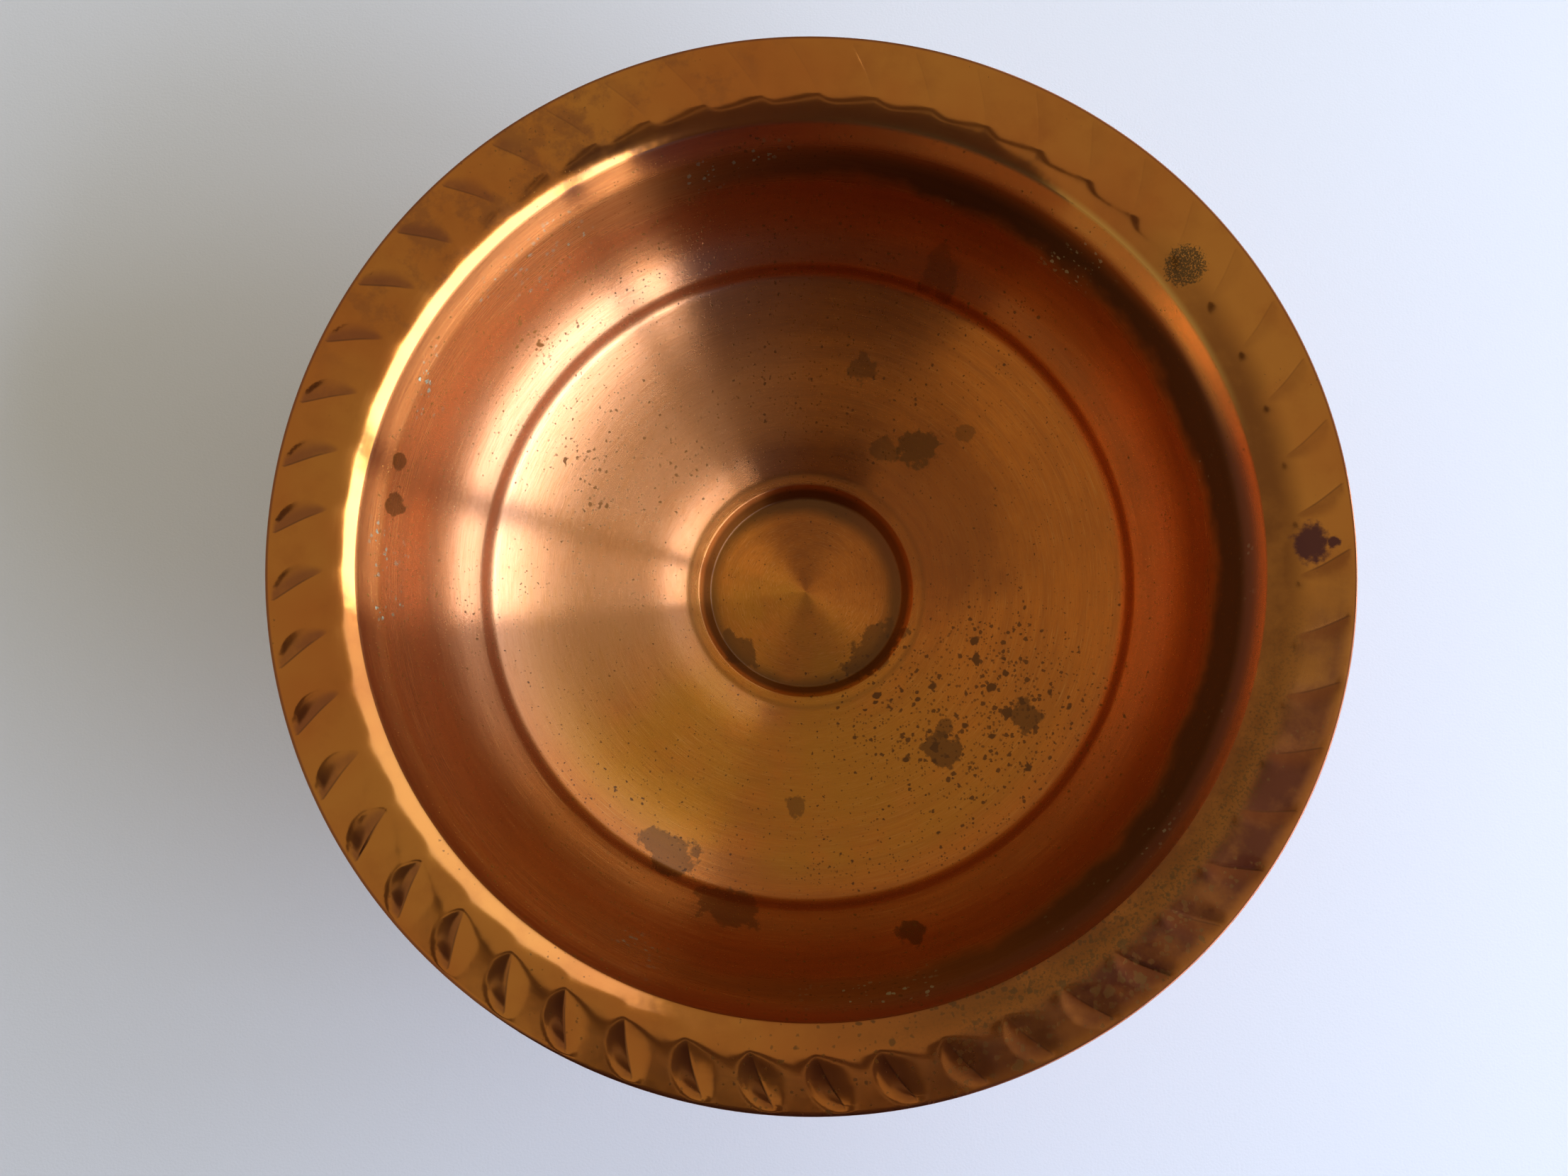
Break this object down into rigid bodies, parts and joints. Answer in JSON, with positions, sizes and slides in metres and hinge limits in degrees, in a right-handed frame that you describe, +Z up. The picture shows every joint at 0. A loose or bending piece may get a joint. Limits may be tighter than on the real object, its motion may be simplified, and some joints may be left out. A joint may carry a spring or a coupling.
{
  "type": "footed dish",
  "caption": "Round spun copper serving dish with a fluted flange, rolled shoulder, stepped bowl and central well, soldered to a low flared foot.",
  "frame": {"origin": "centre of the foot, on the surface that the dish stands on", "axes": "+Z up along the axis that the dish is spun round; +X is any direction across the rim, because the dish is round"},
  "size_m": [0.2601, 0.2602, 0.1],
  "materials": {
    "dish_copper": "copper: flange and shoulder polished, inside brushed round the axis, tarnished in places",
    "foot_copper": "copper, satin, lightly tarnished",
    "wire_copper": "drawn copper wire, dull",
    "solder": "dull grey soft solder"
  },
  "bodies": {
    "root": {"dish": "dish_copper", "foot": "foot_copper", "hem_wire": "wire_copper", "solder_seam": "solder"}
  },
  "joints": []
}
